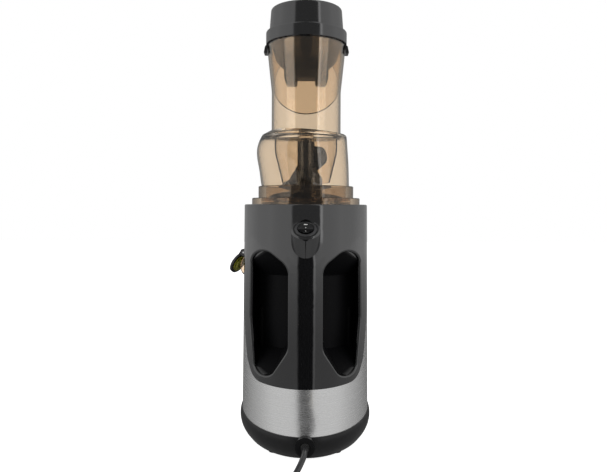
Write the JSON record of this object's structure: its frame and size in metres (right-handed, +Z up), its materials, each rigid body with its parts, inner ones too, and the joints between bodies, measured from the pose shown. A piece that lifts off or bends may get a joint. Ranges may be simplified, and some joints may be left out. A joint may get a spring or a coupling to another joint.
{
  "type": "cold press juicer",
  "caption": "Tall vertical screw juicer with clear feed chute, drum lid, bowl with drop cap, rear handle bar, steel wrap and mains cord.",
  "frame": {"origin": "middle of the bounding box of the juicer without its cord, on the table", "axes": "+Z up along the screw, +Y to the rear with the handle and the cord, +X towards the juice spout's side"},
  "size_m": [0.1794, 0.4192, 0.5145],
  "materials": {
    "black_gloss": "moulded glossy black plastic",
    "black_matte": "moulded matte black plastic",
    "steel_skin": "horizontal brushed steel",
    "rubber": "matte rubber",
    "amber": "amber transparent plastic",
    "grey_plastic": "moulded glass-filled plastic",
    "white_plastic": "moulded acetal gear plastic",
    "steel": "machined steel",
    "laminations": "stacked electrical steel",
    "copper": "enamelled copper windings",
    "silicone_green": "yellow-green silicone",
    "silicone_dark": "dark silicone",
    "brass": "plain brass",
    "cord_jacket": "smooth cord jacket"
  },
  "bodies": {
    "base": {"base_pan": "black_matte", "rubber_feet": "rubber", "base_screws": "steel", "lower_housing": "black_gloss", "steel_wrap": "steel_skin", "upper_housing": "black_gloss", "switch_bezel": "black_matte", "motor_stator": "laminations", "motor_windings": "copper", "motor_bearings": "steel", "motor_lower_bell": "grey_plastic", "motor_upper_bell": "grey_plastic", "gear_case": "grey_plastic", "gear_case_cover": "grey_plastic", "gear_axle": "steel", "shaft_seal": "silicone_dark", "strain_relief": "rubber", "cord_lead": "cord_jacket", "cord_coil": "cord_jacket", "cord_tail": "cord_jacket", "plug": "cord_jacket", "plug_pins": "brass"},
    "switch": {"switch_rocker": "black_gloss"},
    "rotor": {"motor_rotor": "steel", "cooling_fan": "grey_plastic", "motor_pinion": "steel"},
    "countershaft": {"compound_gear": "white_plastic"},
    "drive": {"output_gear": "steel", "drive_shaft": "steel"},
    "bowl": {"juicing_bowl": "amber", "pulp_gasket": "silicone_green", "cap_hinge_pin": "steel", "strainer_frame": "black_gloss", "strainer_mesh": "steel_skin"},
    "spout_cap": {"juice_cap": "black_matte", "cap_seal": "silicone_green"},
    "screw": {"auger": "black_matte"},
    "idler": {"brush_idler": "white_plastic"},
    "brush": {"brush_holder": "black_gloss", "brush_blades": "silicone_dark"},
    "top_lid": {"lid": "amber"},
    "guide": {"feed_guide": "amber", "side_tabs": "black_gloss"},
    "food_pusher": {"pusher": "black_gloss"}
  },
  "joints": [
    {"name": "motor_spin", "type": "hinge", "parent": "base", "child": "rotor", "pos_m": [-0.01025, -0.02541, 0.07], "axis": [0, 0, 1], "continuous": true},
    {"name": "countershaft_spin", "type": "hinge", "parent": "base", "child": "countershaft", "pos_m": [-0.01025, -0.05691, 0.125], "axis": [0, 0, 1], "continuous": true},
    {"name": "drive_spin", "type": "hinge", "parent": "base", "child": "drive", "pos_m": [-0.01025, -0.02541, 0.14], "axis": [0, 0, 1], "continuous": true},
    {"name": "bowl_lift", "type": "slide", "parent": "base", "child": "bowl", "axis": [0, 0, 1], "range_m": [0, 0.13]},
    {"name": "screw_spin", "type": "hinge", "parent": "bowl", "child": "screw", "pos_m": [-0.01025, -0.02541, 0.23], "axis": [0, 0, 1], "continuous": true},
    {"name": "idler_spin", "type": "hinge", "parent": "bowl", "child": "idler", "pos_m": [-0.01025, -0.00141, 0.179], "axis": [0, 0, 1], "continuous": true},
    {"name": "brush_spin", "type": "hinge", "parent": "bowl", "child": "brush", "pos_m": [-0.01025, -0.02541, 0.2], "axis": [0, 0, 1], "continuous": true},
    {"name": "lid_lift", "type": "slide", "parent": "bowl", "child": "top_lid", "axis": [0, 0, 1], "range_m": [0, 0.08]},
    {"name": "guide_lift", "type": "slide", "parent": "top_lid", "child": "guide", "axis": [0, 0, 1], "range_m": [0, 0.1]},
    {"name": "pusher_lift", "type": "slide", "parent": "guide", "child": "food_pusher", "axis": [0, 0, 1], "range_m": [0, 0.07]},
    {"name": "juice_cap_hinge", "type": "hinge", "parent": "bowl", "child": "spout_cap", "pos_m": [0.06855, -0.07091, 0.209], "axis": [-0.5, -0.866, 0], "range_deg": [-29.5, 65]},
    {"name": "switch_rock", "type": "hinge", "parent": "base", "child": "switch", "pos_m": [-0.01025, 0.10244, 0.243], "axis": [1, 0, 0], "range_deg": [-8, 8]}
  ],
  "couplings": [
    {"joint": "countershaft_spin", "follows": "motor_spin", "ratio": -0.16667},
    {"joint": "drive_spin", "follows": "motor_spin", "ratio": 0.033333},
    {"joint": "screw_spin", "follows": "motor_spin", "ratio": 0.033333},
    {"joint": "idler_spin", "follows": "motor_spin", "ratio": -0.055556},
    {"joint": "brush_spin", "follows": "motor_spin", "ratio": -0.015152}
  ]
}
